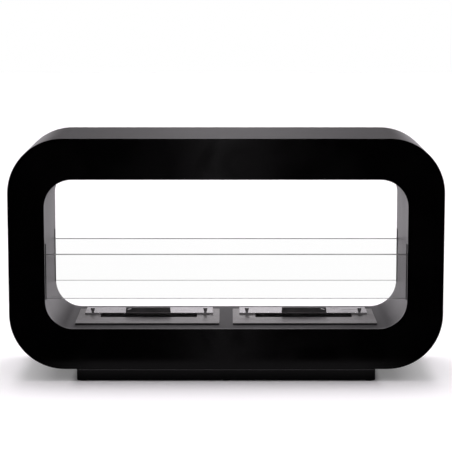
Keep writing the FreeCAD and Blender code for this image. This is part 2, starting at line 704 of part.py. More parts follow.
# Burners
def make_well(name, side):
    """A heat-shield tray hung under a burner cut-out by its flange."""
    x = f"{side} * {BURNER_X}"
    depth = f"({HEARTH_UNDERSIDE} - {WELL_FOOT})"
    wall = (f"{CUTOUT_LENGTH} + 2 * well_gauge", f"{CUTOUT_DEPTH} + 2 * well_gauge", depth)
    rim = (f"{wall[0]} + 2 * well_flange", f"{wall[1]} + 2 * well_flange", "well_gauge")
    tray = fuse(f"well_outside_{name}", block(f"well_wall_{name}", wall, x, "0", WELL_FOOT),
                block(f"well_rim_{name}", rim, x, "0", f"{HEARTH_UNDERSIDE} - well_gauge"))
    inside = block(f"well_inside_{name}", (CUTOUT_LENGTH, CUTOUT_DEPTH, f"{depth} - well_gauge"), x, "0",
                   f"{WELL_FOOT} + well_gauge")
    keep(cut(f"Well_{name}", tray, inside), f"burner_well_{name}")


def make_burner_plate(name, side):
    """The top plate with its fuel slot, turned-down rim, guide slots for the lid and studs for the tank."""
    body = new_body(f"BurnerPlate_{name}")
    x = f"{side} * {BURNER_X}"
    face = sketch_on(body, f"plate_{name}", "XY_Plane", x, lift=PLATE_UNDERSIDE)
    rounded_rectangle(face, PLATE_LENGTH, PLATE_DEPTH, "plate_corner")
    pad(face, "plate_gauge")
    rim = sketch_on(body, f"slot_rim_{name}", "XY_Plane", x, lift=PLATE_TOP)
    rounded_rectangle(rim, f"{SLOT_LENGTH} + 2 * plate_gauge", "slot_width + 2 * plate_gauge",
                      "slot_corner + plate_gauge")
    pad(rim, "slot_rim", -1)
    slot = sketch_on(body, f"fuel_slot_{name}", "XY_Plane", x, lift=PLATE_TOP)
    rounded_rectangle(slot, SLOT_LENGTH, "slot_width", "slot_corner")
    pocket(slot, "slot_rim")
    for sign in SIDES.values():
        guide = sketch_on(body, f"guide_slot_{name}", "XY_Plane", f"{x} + {sign} * {PIN_X}",
                          f"{PIN_Y} - lid_travel / 2", PLATE_TOP, "90")
        obround(guide, f"lid_travel + {GUIDE_SLOT_WIDTH}", GUIDE_SLOT_WIDTH)
        pocket(guide, "plate_gauge")
    for step in ROW_STEPS:
        for row_sign in FACES.values():
            stud = sketch_on(body, f"tank_stud_{name}", "XY_Plane", f"{x} + {step} * {TANK_STUD_X}",
                             f"{row_sign} * {TANK_STUD_Y}", PLATE_UNDERSIDE)
            circle(stud, "stud_diameter")
            pad(stud, "stud_length", -1)
    keep(body, f"burner_plate_{name}")


def make_gasket(name, side):
    """The black seat between the plate and the hearth, open over the cut-out."""
    body = new_body(f"PlateGasket_{name}")
    seat = sketch_on(body, f"gasket_{name}", "XY_Plane", f"{side} * {BURNER_X}", lift=HEARTH)
    rounded_rectangle(seat, PLATE_LENGTH, PLATE_DEPTH, "plate_corner")
    rounded_rectangle(seat, f"{CUTOUT_LENGTH} + 2 * gasket_margin", f"{CUTOUT_DEPTH} + 2 * gasket_margin",
                      "slot_corner + gasket_margin")
    pad(seat, "gasket_gauge")
    keep(body, f"plate_gasket_{name}")


def make_tank(name, side):
    """An open fuel tank with a flange along each long side, and the nuts that hold it to the plate."""
    x = f"{side} * {BURNER_X}"
    box = block(f"tank_box_{name}", (TANK_LENGTH, TANK_DEPTH, "tank_height"), x, "0", TANK_FOOT)
    rim = (TANK_LENGTH, f"{TANK_DEPTH} + 2 * tank_flange", "tank_gauge")
    flange = block(f"tank_flange_{name}", rim, x, "0",
                   f"{PLATE_UNDERSIDE} - tank_gauge")
    hollow = (f"{TANK_LENGTH} - 2 * tank_gauge", f"{TANK_DEPTH} - 2 * tank_gauge", "tank_height - tank_gauge")
    inside = block(f"tank_inside_{name}", hollow, x, "0", f"{TANK_FOOT} + tank_gauge")
    holes = []
    nuts = []
    for step in ROW_STEPS:
        for row_name, row_sign in FACES.items():
            label = f"{name}_{row_name}_{step + 1}"
            stud_x, stud_y = f"{x} + {step} * {TANK_STUD_X}", f"{row_sign} * {TANK_STUD_Y}"
            holes.append(rod(f"tank_hole_{label}", STUD_HOLE, "tank_gauge", stud_x, stud_y,
                             f"{PLATE_UNDERSIDE} - tank_gauge"))
            fixing = nut(f"tank_nut_{label}", "stud_nut_width", "stud_nut_height",
                         "stud_diameter + 2 * thread_clearance")
            nuts.append(place(fixing, stud_x, stud_y, f"{PLATE_UNDERSIDE} - tank_gauge - stud_nut_height"))
    keep(cut(f"Tank_{name}", fuse(f"tank_outside_{name}", box, flange), inside, *holes), f"fuel_tank_{name}")
    keep(group(f"TankNuts_{name}", nuts), f"tank_nuts_{name}")


def make_wool(name, side):
    """The block of ceramic wool in a tank and the slotted grid that lies on it."""
    x = f"{side} * {BURNER_X}"
    inset = "(2 * (tank_gauge + wool_clearance))"
    size = (f"{TANK_LENGTH} - {inset}", f"{TANK_DEPTH} - {inset}")
    wool = block(f"Wool_{name}", (*size, "wool_height"), x, "0", f"{TANK_FOOT} + tank_gauge")
    keep(wool, f"wool_pack_{name}")
    reach = f"({size[0]} - 2 * grid_margin)"
    body = new_body(f"WoolGrid_{name}")
    plan = sketch_on(body, f"grid_{name}", "XY_Plane", x, lift=WOOL_TOP)
    rectangle(plan, *size)
    pad(plan, "grid_gauge")
    slot = sketch_on(body, f"grid_slot_{name}", "XY_Plane", f"{x} - {reach} / 2",
                     lift=f"{WOOL_TOP} + grid_gauge", turn="90")
    obround(slot, f"{size[1]} - 2 * grid_slot_inset", "grid_slot_width")
    first = pocket(slot, "grid_gauge")
    row_of_slots = body.newObject("PartDesign::LinearPattern", f"grid_slots_{name}")
    row_of_slots.Originals = [first]
    row_of_slots.Direction = (slot, ["V_Axis"])
    row_of_slots.Reversed = True
    row_of_slots.Occurrences = GRID_SLOTS
    bind(row_of_slots, "Length", reach)
    body.Tip = row_of_slots
    keep(body, f"wool_grid_{name}")


# Lids
def make_lid(name, side):
    """A shallow upturned pan over the slot, with holes for its knobs and for the handle's screws."""
    body = new_body(f"Lid_{name}")
    x = f"{side} * {BURNER_X}"
    y = f"{LID_FRONT} + {LID_DEPTH} / 2"
    plan = sketch_on(body, f"lid_plan_{name}", "XY_Plane", x, y, LID_FOOT)
    rounded_rectangle(plan, LID_LENGTH, LID_DEPTH, "lid_corner")
    pad(plan, "lid_height")
    ease("Fillet", body, "lid_bend", lies_at("z", LID_TOP))
    hollow = sketch_on(body, f"lid_hollow_{name}", "XY_Plane", x, y, LID_FOOT)
    rounded_rectangle(hollow, f"{LID_LENGTH} - 2 * lid_gauge", f"{LID_DEPTH} - 2 * lid_gauge",
                      "lid_corner - lid_gauge")
    pocket(hollow, "lid_height - lid_gauge", 1)
    rivet_hole = "rivet_diameter + 2 * rivet_clearance"
    holes = [(f"{sign} * {KNOB_X}", KNOB_Y, rivet_hole) for sign in SIDES.values()]
    holes += [(f"{side} * handle_offset + {sign} * screw_pitch / 2", HANDLE_Y,
               "screw_diameter + 2 * screw_clearance") for sign in SIDES.values()]
    for along, across, diameter in holes:
        hole = sketch_on(body, f"lid_hole_{name}", "XY_Plane", f"{x} + {along}", across, LID_TOP)
        circle(hole, diameter)
        pocket(hole, "lid_gauge")
    keep(body, f"lid_{name}")


def make_handle(name, side):
    """A bar along the lid's front edge with drafted ends, a slanted eye at its outer end, and its screws."""
    body = new_body(f"LidHandle_{name}")
    x = f"{side} * {HANDLE_X}"
    front = f"-{LID_FRONT}"
    end = "(handle_length / 2)"
    bar = sketch_on(body, f"bar_{name}", "XZ_Plane", x, LID_TOP, front)
    outline(bar, [(f"-{end}", "0"), (end, "0"), (f"{end} - handle_draft", "handle_height"),
                  (f"handle_draft - {end}", "handle_height")])
    pad(bar, "handle_depth", -1)
    ease("Fillet", body, "handle_ease", lies_at("z", f"{LID_TOP} + handle_height"))
    eye = sketch_on(body, f"eye_{name}", "XZ_Plane", f"{x} + {side} * ({end} - eye_inset)",
                    f"{LID_TOP} + handle_height - eye_drop", front, f"{-side} * eye_angle")
    obround(eye, "eye_length", "eye_width")
    pocket(eye, "handle_depth")
    screws = []
    for sign_name, sign in SIDES.items():
        across = f"{x} + {sign} * screw_pitch / 2"
        hole = sketch_on(body, f"screw_hole_{name}", "XY_Plane", across, HANDLE_Y, LID_TOP)
        circle(hole, "screw_diameter + 2 * thread_clearance")
        pocket(hole, "screw_bite + drill_spare", 1)
        label = f"{name}_{sign_name}"
        stem = rod(f"screw_stem_{label}", "screw_diameter", "lid_gauge + screw_bite", across, HANDLE_Y,
                   LID_SHEET_UNDERSIDE)
        head = rod(f"screw_head_{label}", "screw_head_diameter", "screw_head_height", across, HANDLE_Y,
                   f"{LID_SHEET_UNDERSIDE} - screw_head_height")
        screws.append(fuse(f"screw_{label}", head, stem))
    keep(body, f"lid_handle_{name}")
    keep(group(f"HandleScrews_{name}", screws), f"handle_screws_{name}")


def make_knobs(name, side):
    """Two conical knobs, wider at the top, each riveted through the lid."""
    knobs = []
    for sign_name, sign in SIDES.items():
        body = new_body(f"Knob_{name}_{sign_name}")
        profile = sketch_on(body, f"knob_profile_{name}", "XZ_Plane")
        rivet, rivet_head = "rivet_diameter / 2", "rivet_head_diameter / 2"
        foot, top = "knob_foot_diameter / 2", "knob_top_diameter / 2"
        underside = "-lid_gauge - rivet_head_height"
        outline(profile, [("0", underside), (rivet_head, underside), (rivet_head, "-lid_gauge"),
                          (rivet, "-lid_gauge"), (rivet, "0"), (foot, "0"),
                          (top, "knob_height - knob_ease"), (f"{top} - knob_ease", "knob_height"),
                          ("0", "knob_height")])
        turned = body.newObject("PartDesign::Revolution", f"knob_turned_{name}")
        turned.Profile = profile
        turned.ReferenceAxis = (profile, ["V_Axis"])
        place(body, f"{side} * {BURNER_X} + {sign} * {KNOB_X}", KNOB_Y, LID_TOP)
        knobs.append(body)
    keep(group(f"LidKnobs_{name}", knobs), f"lid_knobs_{name}")


def make_guides(name, side):
    """Pins under the lid that run in the plate's guide slots, and the flange nuts that keep it down."""
    pins = []
    nuts = []
    washer_top = f"{PLATE_UNDERSIDE} - slide_clearance"
    washer_foot = f"{washer_top} - guide_washer_gauge"
    for sign_name, sign in SIDES.items():
        label = f"{name}_{sign_name}"
        x = f"{side} * {BURNER_X} + {sign} * {PIN_X}"
        pins.append(rod(f"pin_{label}", "pin_diameter", "pin_length", x, PIN_Y,
                        f"{LID_SHEET_UNDERSIDE} - pin_length"))
        prism = place(hexagon(f"guide_hexagon_{label}", "guide_nut_width", "guide_nut_height"), x, PIN_Y,
                      f"{washer_foot} - guide_nut_height")
        washer = rod(f"guide_washer_{label}", "guide_washer_diameter", "guide_washer_gauge", x, PIN_Y,
                     washer_foot)
        bore = rod(f"guide_bore_{label}", "pin_diameter + 2 * thread_clearance",
                   "guide_washer_gauge + guide_nut_height", x, PIN_Y, f"{washer_foot} - guide_nut_height")
        nuts.append(cut(f"guide_nut_{label}", fuse(f"guide_solid_{label}", prism, washer), bore))
    keep(group(f"GuidePins_{name}", pins), f"guide_pins_{name}")
    keep(group(f"GuideNuts_{name}", nuts), f"guide_nuts_{name}")


make_outer_shell()
make_inner_lining()
make_ribs()
make_hearth_joists()
make_fascia_fixings()
make_plinth()
make_plinth_base()
make_plinth_fixings()
for face_name, face_sign in FACES.items():
    make_fascia(face_name, face_sign)
    make_glass(face_name, face_sign)
    for side_name in SIDES:
        make_glass_channel(face_name, side_name)
for side_name, side_sign in SIDES.items():
    make_well(side_name, side_sign)
    make_gasket(side_name, side_sign)
    make_burner_plate(side_name, side_sign)
    make_tank(side_name, side_sign)
    make_wool(side_name, side_sign)
    make_lid(side_name, side_sign)
    make_handle(side_name, side_sign)
    make_knobs(side_name, side_sign)
    make_guides(side_name, side_sign)
doc.recompute()

failed = [thing.Name for thing in doc.Objects if {"Invalid", "Error"} & set(thing.State)]
failed += [node.Label for node in nodes if node.Shape.isNull() or not node.Shape.isValid()]
if failed:
    raise RuntimeError(f"not built: {failed}")

os.makedirs("parts", exist_ok=True)
for node in nodes:
    node.Shape.exportStep(f"parts/{node.Label}.step")
print(f"{len(nodes)} sub-parts written")
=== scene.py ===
"""Finishes, wool packs, studio and camera for a see-through fireplace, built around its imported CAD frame."""

import math

import bpy
import numpy as np
from bpy.props import FloatProperty, FloatVectorProperty, IntProperty, PointerProperty
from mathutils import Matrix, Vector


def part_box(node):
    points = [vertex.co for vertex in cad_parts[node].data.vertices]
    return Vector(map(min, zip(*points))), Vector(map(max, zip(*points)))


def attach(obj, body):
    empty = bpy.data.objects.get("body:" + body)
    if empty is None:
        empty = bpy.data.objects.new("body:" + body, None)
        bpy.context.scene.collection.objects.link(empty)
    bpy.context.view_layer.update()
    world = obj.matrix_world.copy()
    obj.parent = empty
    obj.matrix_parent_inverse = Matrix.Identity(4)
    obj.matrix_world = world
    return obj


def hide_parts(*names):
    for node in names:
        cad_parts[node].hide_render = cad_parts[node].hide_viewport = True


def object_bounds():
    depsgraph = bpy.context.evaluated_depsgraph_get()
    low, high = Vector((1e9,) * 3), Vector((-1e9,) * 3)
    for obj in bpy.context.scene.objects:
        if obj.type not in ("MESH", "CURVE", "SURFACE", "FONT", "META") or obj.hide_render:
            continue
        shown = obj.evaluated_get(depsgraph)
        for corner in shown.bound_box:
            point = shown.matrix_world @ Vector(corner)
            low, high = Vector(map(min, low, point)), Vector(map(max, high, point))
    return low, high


bl_info = {
    "name": "See-through fireplace",
    "version": (1, 0, 0),
    "blender": (4, 5, 0),
    "location": "3D View > Sidebar > Fireplace",
    "description": "Dresses the packed fireplace with its finishes and sets up the studio",
    "category": "Object",
}

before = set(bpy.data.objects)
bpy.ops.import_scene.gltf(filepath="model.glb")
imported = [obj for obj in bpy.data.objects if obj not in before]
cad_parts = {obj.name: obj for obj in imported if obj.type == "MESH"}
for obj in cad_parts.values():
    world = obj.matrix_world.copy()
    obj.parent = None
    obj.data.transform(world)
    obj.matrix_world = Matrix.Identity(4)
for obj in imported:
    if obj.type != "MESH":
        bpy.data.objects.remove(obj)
CAD_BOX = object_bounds()
SIDES = ("left", "right")
IMAGE_SIDE = 452
SENSOR = 36.0
# Where the parts of the mirrored room begin and end: the upward, sideways or rearward part of a direction
BAND_FOOT = (0.14, 0.17)
BAND_HEAD = (0.2, 0.235)
COLUMN_RISE = (0.19, 0.28)
COLUMN_EDGE = (0.025, 0.055)
BOX_START = (0.16, 0.2)
BOX_END = (0.35, 0.6)
SWEEP_HEAD = (-0.08, 0.0)
SWEEP_FOOT = (-0.5, -0.1)
STRIP_RISE = (-0.2, -0.105)
FRONT_BOX_RISE = (0.1, 0.35)
TURN = (-0.3, 0.3)
# The painted highlight along the top of the plinth, measured from its top: where it fades in at its foot and out at
# its top
HIGHLIGHT_FOOT = (-0.0033, -0.0028)
HIGHLIGHT_TOP = (-0.0002, 0.0)
# Where the white that the floor adds fades in, outwards from the ends of the plinth and from its front or rear: the
# floor is left darker near the plinth, a painted shadow
LIFT_ENDS = (-0.005, 0.02)
LIFT_FRONT = -0.01
# Where the white beside the plinth rises and falls, outwards from its ends, and where it stops in front and behind:
# painted light that lightens the shadow beside the ends
BESIDE_RISE = (0.06, 0.15)
BESIDE_FALL = (0.15, 0.22)
BESIDE_FRONT = (-0.02, 0.05)
# Where the gleam on the floor rises and ends, outwards from the front of the plinth, and where it fades at its ends
GLEAM_START = (0.03, 0.16)
GLEAM_END = (0.23, 0.3)
GLEAM_SIDES = (-0.03, 0.16)
FLOOR_STEPS = 96
# Transmission depth of a ray that has passed both faces of both panes
BOTH_PANES = 4.0
# The part of a noise's range that is used, as it seldom comes near 0 or 1
NOISE_SPAN = (0.3, 0.7)
WHITE = (1.0, 1.0, 1.0, 1.0)
DUST = (0.3, 0.29, 0.28, 1.0)
SMALL_PART_DUST = (0.25, 0.24, 0.23, 1.0)
SCORCH = (0.32, 0.27, 0.22, 1.0)
# Waves between the wool's lumps: how far and how slowly the first sways, and how close the second is across and up
SWAY, SWAY_PACE, WAVE_ACROSS, WAVE_UP = 1.7, 0.37, 1.3, 0.9


def nodes_by_slot():
    """The CAD objects under the name of the material slot that each came with."""
    found = {}
    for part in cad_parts.values():
        found.setdefault(part.material_slots[0].name, []).append(part)
    return found


NODES_BY_SLOT = nodes_by_slot()


def colour(label, value, note):
    """A colour property with its name, description and default."""
    return FloatVectorProperty(name=label, description=note, subtype="COLOR", size=3, min=0.0, max=1.0, default=value)


def share(label, value, note):
    """A property from 0 to 1 with its name, description and default."""
    return FloatProperty(name=label, description=note, subtype="FACTOR", min=0.0, max=1.0, default=value)


def length(label, value, note):
    """A length in metres with its name, description and default."""
    return FloatProperty(name=label, description=note, subtype="DISTANCE", unit="LENGTH", default=value)


class FireplaceFinishes(bpy.types.PropertyGroup):
    """Colours and gloss of the fireplace's finishes."""

    lacquer: colour("Lacquer", (0.0005, 0.0004, 0.0005), "Gloss black of the fascias and the plinth")
    lacquer_roughness: share("Lacquer roughness", 0.09, "How blurred the lacquer's reflections are")
    lacquer_specular: share("Lacquer specular", 0.5, "How strongly the lacquer mirrors what is in front of it")
    # A painted highlight: colour of the thin lighter line along the top fold of the plinth
    plinth_painted_highlight: colour("Plinth edge", (0.026, 0.025, 0.026), "Thin lighter line along the top of the plinth")
    coat: colour("Powder coat", (0.036, 0.0335, 0.0368), "Satin anthracite of the lining")
    # Painted shade: the shell's coat is a darker copy of the lining's coat
    shaded_shell_coat: colour("Shell coat", (0.013, 0.0122, 0.0123), "Satin anthracite of the shell, a little darker")
    coat_roughness: share("Powder coat roughness", 0.35, "How blurred the powder coat's sheen is")
    coat_specular: share("Powder coat specular", 0.2, "How strongly the powder coat shines at a low angle")
    coat_dust: share("Powder coat dust", 0.06, "How much dust lies on the lining")
    shell_dust: share("Shell dust", 0.03, "How much dust lies on the shell")
    plate: colour("Burner plate", (0.44, 0.433, 0.427), "Brushed steel of the burner plates")
    plate_roughness: share("Burner plate roughness", 0.3, "How blurred the brushed steel's reflections are")
    lid: colour("Lid", (0.685, 0.677, 0.683), "Polished steel of the sliding lids")
    lid_roughness: share("Lid roughness", 0.1, "How blurred the polished lid's reflections are")
    knob: colour("Knob", (0.58, 0.58, 0.59), "Turned and polished steel of the knobs")
    handle: colour("Handle", (0.07, 0.066, 0.068), "Satin black of the lid handles")
    tank: colour("Tank", (0.2, 0.194, 0.196), "Heat-darkened steel of the tanks and grids")
    sheet_steel: colour("Sheet steel", (0.4, 0.41, 0.42), "Galvanised sheet of the ribs, joists and wells")
    zinc: colour("Zinc", (0.5, 0.5, 0.52), "Zinc plating of the screws, nuts and posts")
    channel: colour("Glass channel", (0.012, 0.0115, 0.0125), "Satin black of the channels that hold the panes")
    rubber: colour("Rubber", (0.014, 0.014, 0.015), "Rubber of the seals, gaskets and pads")
    glass: colour("Glass", (0.999, 0.999, 0.999), "Clear glass of the panes")
    glass_index: FloatProperty(name="Glass index", description="How strongly the panes bend and mirror light",
                               min=1.0, default=1.12)
    # Grey of the ground edges and, in the wider bands beside them, painted shade for the dark lines along the panes'
    # edges
    glass_edge_and_shade: colour("Glass edge", (0.2, 0.195, 0.2), "Ground edges of the panes")
    top_arris_and_shade: length("Top arris", 0.0022, "Width of the ground band along the top of each pane")
    foot_arris_and_shade: length("Foot arris", 0.0009, "Width of the ground band along the foot of each pane")
    wool: colour("Wool", (0.72, 0.7, 0.66), "Ceramic wool that soaks up the fuel")


class FireplaceWool(bpy.types.PropertyGroup):
    """Shape of the ceramic-wool packs."""

    rings: IntProperty(name="Rings", description="Rings of faces from the foot to the top", min=8, default=48)
    around: IntProperty(name="Around", description="Faces around each ring", min=16, default=144)
    squareness: FloatProperty(name="Squareness", description="Power of the rounded block, larger is squarer",
                              min=2.0, default=12.0)
    lump: length("Lumps", 0.0012, "How far the felted surface sinks between its lumps")
    lump_pitch: length("Lump pitch", 0.021, "Distance from one lump to the next")


class FireplaceStudio(bpy.types.PropertyGroup):
    """Camera, floor and light."""

    camera_distance: length("Camera distance", 5.356, "How far the camera stands in front of the middle")
    camera_height: length("Camera height", 1.168, "How high the camera stands above the floor")
    camera_tilt: FloatProperty(name="Camera tilt", description="How far the camera looks down", subtype="ANGLE",
                               unit="ROTATION", default=math.radians(8.277))
    focal_pixels: FloatProperty(name="Focal length", description="Focal length in pixels of the picture",
                                subtype="PIXEL", default=1906.0)
    centre_x: FloatProperty(name="Centre across", description="Pixel column that the camera's axis meets",
                            subtype="PIXEL", default=226.1)
    centre_y: FloatProperty(name="Centre down", description="Pixel row that the camera's axis meets",
                            subtype="PIXEL", default=233.52)
    floor_reach: length("Floor reach", 14.0, "Radius of the pale floor")
    floor: colour("Floor", (0.9, 0.9, 0.9), "Pale floor")
    floor_lift: share("Floor lift", 0.17, "White that the floor adds where it is seen as background")
    # Painted shadow: the floor's white fades out towards the plinth over this distance
    floor_fade: length("Floor fade", 0.12, "How far from the plinth that white is whole")
    # Painted light: extra white that lightens the shadow beside the ends of the plinth
    floor_ends: share("Floor ends", 0.13, "White that it adds beside the ends of the plinth")
    floor_ends_kept: share("Floor ends kept", 0.3, "How much of the white beside the plinth is left farther out")
    gleam: share("Gleam", 0.145, "How bright the floor near the plinth is in reflections")
    gleam_foot: share("Gleam foot", 0.03, "How bright it is there at the foot of the plinth")
    tint: colour("Light tint", (1.0, 0.955, 1.0), "Colour of the lamps, the sky and the room in reflections")
    sky: FloatProperty(name="Sky", description="Strength of the even light from all round", min=0.0, default=0.4)
    rear_lamp: FloatProperty(name="Rear lamp", description="Power of the soft lamp high up behind", unit="POWER",
                             min=0.0, default=2.0)
    rear_lamp_side: length("Rear lamp side", 1.6, "Side of the soft lamp high up behind")
    rear_lamp_height: length("Rear lamp height", 2.4, "Height of the soft lamp above the floor")
    rear_lamp_distance: length("Rear lamp distance", 2.4, "How far the soft lamp hangs behind the middle")
    key: FloatProperty(name="Key light", description="Strength of the broad light from above",
                       min=0.0, default=2.2)
    key_angle: FloatProperty(name="Key softness", description="How wide the broad light is", subtype="ANGLE",
                             unit="ROTATION", default=math.radians(30.0))
    key_tilt: FloatProperty(name="Key tilt", description="How far the broad light leans to the rear",
                            subtype="ANGLE", unit="ROTATION", default=math.radians(8.0))
    strip: share("Front strip", 0.32, "Strength of the tall strip light that the lacquer mirrors in front")
    strip_foot: FloatProperty(name="Front strip foot", description="How much of it is left low down", min=0.0,
                              default=0.7)
    strip_head: FloatProperty(name="Front strip head", description="How much of it there is towards its head", min=0.0,
                              default=1.4)
    strip_width: share("Front strip width", 0.022, "Half width of the strip light, as a share of the view around")
    front_box: share("Front box", 0.25, "Strength of the soft box high up in front, in reflections")
    front_dark: share("Dark front", 0.003, "What the rest of the room in front adds to reflections")
    upper_room: share("Upper room", 0.65, "How bright the room behind is above the backdrop, in reflections")
    low_room: share("Low room", 0.08, "How much of that is left just above the horizon")
    high_room: share("High room", 0.12, "How much of that is left high up")
    centre_foot: share("Centre foot", 0.14, "What a bright column in the middle adds to it low down")
    centre_head: share("Centre head", 0.9, "What the column adds high up")
    side_boxes: FloatProperty(name="Side boxes", description="How bright the soft boxes to the left and right are",
                              min=0.0, default=1.4)
    sweep: share("Sweep", 0.53, "How bright the backdrop behind is at and below the horizon, in reflections")
    near_floor: share("Near floor", 0.2, "How much of the backdrop is left on the floor close by, in reflections")
    through_panes: share("Through panes", 0.72, "How much of all that is left in reflections through both panes")


def add_node(tree, kind, inputs=None, **settings):
    """A new node. Inputs maps socket names or numbers to a value or to an output that feeds the socket."""
    made = tree.nodes.new(kind)
    for name, value in settings.items():
        setattr(made, name, value)
    for name, value in (inputs or {}).items():
        socket = made.inputs[name]
        if isinstance(value, bpy.types.NodeSocket):
            tree.links.new(value, socket)
        else:
            socket.default_value = value
    return made


def new_group(name, inputs, outputs):
    """An empty shader node group with float sockets, its input node and its output node."""
    tree = bpy.data.node_groups.new(name, "ShaderNodeTree")
    for label, value in inputs.items():
        socket = tree.interface.new_socket(label, in_out="INPUT", socket_type="NodeSocketFloat")
        socket.default_value = value
    for label in outputs:
        tree.interface.new_socket(label, in_out="OUTPUT", socket_type="NodeSocketFloat")
    return tree, add_node(tree, "NodeGroupInput"), add_node(tree, "NodeGroupOutput")


def noise(tree, vector, scale, detail=2.0, roughness=0.5, distortion=0.0):
    """The value of a noise texture, from 0 to 1 around a half."""
    made = add_node(tree, "ShaderNodeTexNoise", {"Vector": vector, "Scale": scale, "Detail": detail,
                                                 "Roughness": roughness, "Distortion": distortion})
    return made.outputs[0]


def remap(tree, value, low, high, start=0.0, end=1.0):
    """A value between start and end carried to the range from low to high."""
    made = add_node(tree, "ShaderNodeMapRange", {"Value": value, "From Min": start, "From Max": end,
                                                 "To Min": low, "To Max": high})
    return made.outputs["Result"]


def beyond(tree, value, low, high, edge, reach):
    """A value carried to the range from low to high over a reach, both ends of which are measured from an edge."""
    return remap(tree, value, low, high, edge + reach[0], edge + reach[1])


def calculate(tree, operation, first, second):
    """One arithmetic step on two values."""
    return add_node(tree, "ShaderNodeMath", {0: first, 1: second}, operation=operation).outputs[0]


def mix_colours(tree, mask, start, end):
    """The start colour where the mask is 0 and the end colour where it is 1."""
    made = add_node(tree, "ShaderNodeMix", {0: mask, 6: start, 7: end}, data_type="RGBA")
    return made.outputs[2]


def grain_group():
    """Fine speckle of a sprayed coat and slow clouds of its tone, both from noise on the object's own metres."""
    tree, given, result = new_group("Coat grain", {"Speckle": 900.0, "Cloud": 6.0}, ("Speckle", "Cloud"))
    place = add_node(tree, "ShaderNodeTexCoord").outputs["Object"]
    speckle = noise(tree, place, given.outputs["Speckle"])
    cloud = noise(tree, place, given.outputs["Cloud"], detail=3.0)
    tree.links.new(speckle, result.inputs["Speckle"])
    tree.links.new(remap(tree, cloud, 0.0, 1.0, *NOISE_SPAN), result.inputs["Cloud"])
    return tree


def brush_group():
    """Hair lines that run along X: noise stretched along X, fine for the lines and coarse for their bands."""
    tree, given, result = new_group("Brush lines", {"Along": 9.0, "Across": 1100.0}, ("Lines", "Bands"))
    place = add_node(tree, "ShaderNodeTexCoord").outputs["Object"]
    stretch = add_node(tree, "ShaderNodeCombineXYZ", {"X": given.outputs["Along"], "Y": given.outputs["Across"],
                                                      "Z": given.outputs["Across"]}).outputs[0]
    drawn = add_node(tree, "ShaderNodeVectorMath", {0: place, 1: stretch}, operation="MULTIPLY").outputs[0]
    lines = noise(tree, drawn, 1.0, detail=3.0, roughness=0.65)
    bands = noise(tree, drawn, 0.07, detail=2.0)
    tree.links.new(remap(tree, lines, 0.0, 1.0, *NOISE_SPAN), result.inputs["Lines"])
    tree.links.new(remap(tree, bands, 0.0, 1.0, *NOISE_SPAN), result.inputs["Bands"])
    return tree


def marks_group():
    """Soft wiping marks and fingerprints: a distorted noise, kept only where it is high."""
    tree, given, result = new_group("Handling marks", {"Scale": 14.0, "Amount": 1.0}, ("Marks",))
    place = add_node(tree, "ShaderNodeTexCoord").outputs["Object"]
    wiped = noise(tree, place, given.outputs["Scale"], detail=4.0, distortion=1.6)
    kept = remap(tree, wiped, 0.0, 1.0, 0.46, 0.72)
    tree.links.new(calculate(tree, "MULTIPLY", kept, given.outputs["Amount"]), result.inputs["Marks"])
    return tree


def dust_group():
    """Dust that settles on faces that look up: the upward part of the normal times a broken noise."""
    tree, given, result = new_group("Settled dust", {"Amount": 0.2}, ("Dust",))
    coordinates = add_node(tree, "ShaderNodeTexCoord")
    upward = add_node(tree, "ShaderNodeSeparateXYZ", {0: coordinates.outputs["Normal"]}).outputs["Z"]
    broken = noise(tree, coordinates.outputs["Object"], 38.0, detail=6.0, roughness=0.7)
    level = remap(tree, upward, 0.0, 1.0, 0.5, 1.0)
    dust = calculate(tree, "MULTIPLY", level, remap(tree, broken, 0.3, 1.0, 0.35, 0.7))
    tree.links.new(calculate(tree, "MULTIPLY", dust, given.outputs["Amount"]), result.inputs["Dust"])
    return tree


GROUP_MAKERS = {"Coat grain": grain_group, "Brush lines": brush_group, "Handling marks": marks_group,
                "Settled dust": dust_group}


def use_group(tree, name, **values):
    """A shared effect placed in a material with its own values. The group is built when it is first needed."""
    shared = bpy.data.node_groups.get(name) or GROUP_MAKERS[name]()
    made = add_node(tree, "ShaderNodeGroup", node_tree=shared)
    for label, value in values.items():
        made.inputs[label].default_value = value
    return made.outputs


def new_material(name, **constants):
    """A material with an empty Principled shader, whose even values are set on the shader's own sockets."""
    material = bpy.data.materials.new(name)
    material.use_nodes = True
    shader = material.node_tree.nodes["Principled BSDF"]
    for label, value in constants.items():
        shader.inputs[label.replace("_", " ")].default_value = value
    return material, material.node_tree, shader


def feed(tree, shader, **sources):
    """Links outputs to the named sockets of a shader."""
    for label, source in sources.items():
        tree.links.new(source, shader.inputs[label.replace("_", " ")])


def bump(tree, height, depth):
    """A normal that rises and falls with a height from 0 to 1, over a depth in metres."""
    made = add_node(tree, "ShaderNodeBump", {"Height": height, "Distance": depth, "Strength": 1.0})
    return made.outputs["Normal"]


def tone(base, factor):
    """A colour made lighter or darker, with its alpha."""
    return (*(min(1.0, part * factor) for part in base), 1.0)


def dress(slot, material):
    """Gives every CAD object of a material slot its finish."""
    for part in NODES_BY_SLOT[slot]:
        part.material_slots[0].material = material


